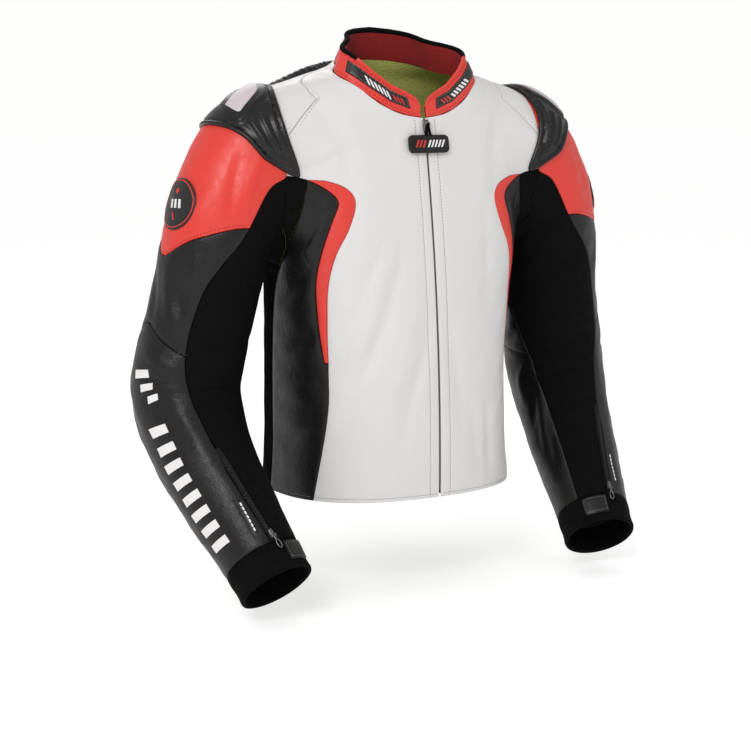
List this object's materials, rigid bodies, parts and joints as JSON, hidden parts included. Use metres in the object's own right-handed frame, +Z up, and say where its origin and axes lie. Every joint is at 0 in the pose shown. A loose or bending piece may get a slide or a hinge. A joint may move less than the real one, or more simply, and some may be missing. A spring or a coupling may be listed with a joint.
{
  "type": "leather riding jacket",
  "caption": "Short leather riding jacket with stand collar, front zip, hard shoulder cups, stretch panels and zipped cuffs.",
  "frame": {"origin": "centre of the neck opening at the height where collar meets shoulder, where a hanger or the wearer's neck carries the jacket", "axes": "+Z up, -Y out of the jacket's front, +X towards the wearer's left"},
  "size_m": [0.7114, 0.3315, 0.7225],
  "materials": {
    "white_leather": "smooth semi-gloss",
    "red_leather": "smooth semi-gloss",
    "black_leather": "grained semi-gloss",
    "black_stretch": "matt ribbed stretch",
    "accordion_leather": "ribbed semi-matt",
    "cup_shell": "gloss",
    "cup_insert": "satin",
    "black_rubber": "satin",
    "badge_rubber": "satin, raised print",
    "lining": "open mesh",
    "collar_lining": "soft brushed",
    "foam": "matt foam",
    "zip_tape": "woven",
    "zip_metal": "satin"
  },
  "bodies": {
    "torso": {"back_panel": "white_leather", "back_protector": "foam", "back_side_left": "black_leather", "back_side_right": "black_leather", "body_lining": "lining", "collar_badge_left": "black_rubber", "collar_badge_right": "black_rubber", "collar_binding": "black_stretch", "collar_lining": "collar_lining", "collar_shell": "red_leather", "front_panel_left": "white_leather", "front_panel_right": "white_leather", "shoulder_panel_left": "white_leather", "shoulder_panel_right": "white_leather", "shoulder_stretch_left": "accordion_leather", "shoulder_stretch_right": "accordion_leather", "side_panel_left": "black_leather", "side_panel_right": "black_leather", "side_stretch_left": "black_stretch", "side_stretch_right": "black_stretch", "side_trim_left": "red_leather", "side_trim_right": "red_leather", "storm_flap": "black_leather", "waist_zip": "zip_tape", "zip_half_left": "zip_tape", "zip_half_right": "zip_tape"},
    "forearm_left": {"cuff_left": "black_stretch", "cuff_zip_left": "zip_tape", "elbow_armour_left": "foam", "elbow_stretch_left": "black_stretch", "forearm_inner_left": "black_stretch", "forearm_outer_left": "black_leather"},
    "cuff_pull_left": {"cuff_pull_left": "zip_metal"},
    "cuff_pull_right": {"cuff_pull_right": "zip_metal"},
    "forearm_right": {"cuff_right": "black_stretch", "cuff_zip_right": "zip_tape", "elbow_armour_right": "foam", "elbow_stretch_right": "black_stretch", "forearm_inner_right": "black_stretch", "forearm_outer_right": "black_leather"},
    "cuff_slider_left": {"cuff_slider_left": "zip_metal"},
    "cuff_slider_right": {"cuff_slider_right": "zip_metal"},
    "cuff_tab_left": {"cuff_tab_left": "black_leather"},
    "cuff_tab_right": {"cuff_tab_right": "black_leather"},
    "upper_sleeve_left": {"cup_insert_left": "cup_insert", "shoulder_armour_left": "foam", "shoulder_cup_left": "cup_shell", "sleeve_badge_left": "badge_rubber", "sleeve_red_left": "red_leather", "upper_sleeve_inner_left": "black_stretch", "upper_sleeve_outer_left": "black_leather"},
    "upper_sleeve_right": {"cup_insert_right": "cup_insert", "shoulder_armour_right": "foam", "shoulder_cup_right": "cup_shell", "sleeve_badge_right": "badge_rubber", "sleeve_red_right": "red_leather", "upper_sleeve_inner_right": "black_stretch", "upper_sleeve_outer_right": "black_leather"},
    "zip_pull": {"zip_pull": "black_leather"},
    "zip_slider": {"zip_slider": "zip_metal"}
  },
  "joints": [
    {"name": "shoulder_left", "type": "hinge", "parent": "torso", "child": "upper_sleeve_left", "pos_m": [0.176, 0.012, -0.026], "axis": [0, -1, 0], "range_deg": [0, 55]},
    {"name": "elbow_left", "type": "hinge", "parent": "upper_sleeve_left", "child": "forearm_left", "pos_m": [0.29, 0.042, -0.43], "axis": [-0.9994, 0, -0.0349], "range_deg": [-30, 40]},
    {"name": "shoulder_right", "type": "hinge", "parent": "torso", "child": "upper_sleeve_right", "pos_m": [-0.176, 0.012, -0.026], "axis": [0, 1, 0], "range_deg": [0, 55]},
    {"name": "elbow_right", "type": "hinge", "parent": "upper_sleeve_right", "child": "forearm_right", "pos_m": [-0.29, 0.042, -0.43], "axis": [-0.9994, 0, 0.0349], "range_deg": [-30, 40]},
    {"name": "front_zip", "type": "hinge", "parent": "torso", "child": "zip_slider", "pos_m": [0, 2.3716, -0.4872], "axis": [1, 0, 0], "range_deg": [0, 10.4]},
    {"name": "front_zip_pull", "type": "hinge", "parent": "zip_slider", "child": "zip_pull", "pos_m": [0, -0.0783, -0.07885], "axis": [-1, 0, 0], "range_deg": [0, 150]},
    {"name": "cuff_zip_left", "type": "slide", "parent": "forearm_left", "child": "cuff_slider_left", "axis": [0.2744, 0.5817, 0.7657], "range_m": [0, 0.0985]},
    {"name": "cuff_zip_pull_left", "type": "hinge", "parent": "cuff_slider_left", "child": "cuff_pull_left", "pos_m": [0.25722, -0.13319, -0.57164], "axis": [-0.9615, 0.1532, 0.2282], "range_deg": [0, 120]},
    {"name": "cuff_tab_left", "type": "hinge", "parent": "forearm_left", "child": "cuff_tab_left", "pos_m": [0.24464, -0.14277, -0.58995], "axis": [0.1643, 0.6, 0.7829], "range_deg": [0, 100]},
    {"name": "cuff_zip_right", "type": "slide", "parent": "forearm_right", "child": "cuff_slider_right", "axis": [-0.2744, 0.5817, 0.7657], "range_m": [0, 0.0985]},
    {"name": "cuff_zip_pull_right", "type": "hinge", "parent": "cuff_slider_right", "child": "cuff_pull_right", "pos_m": [-0.25722, -0.13319, -0.57164], "axis": [-0.9615, -0.1532, -0.2282], "range_deg": [0, 120]},
    {"name": "cuff_tab_right", "type": "hinge", "parent": "forearm_right", "child": "cuff_tab_right", "pos_m": [-0.24464, -0.14277, -0.58995], "axis": [0.1643, -0.6, -0.7829], "range_deg": [0, 100]}
  ]
}
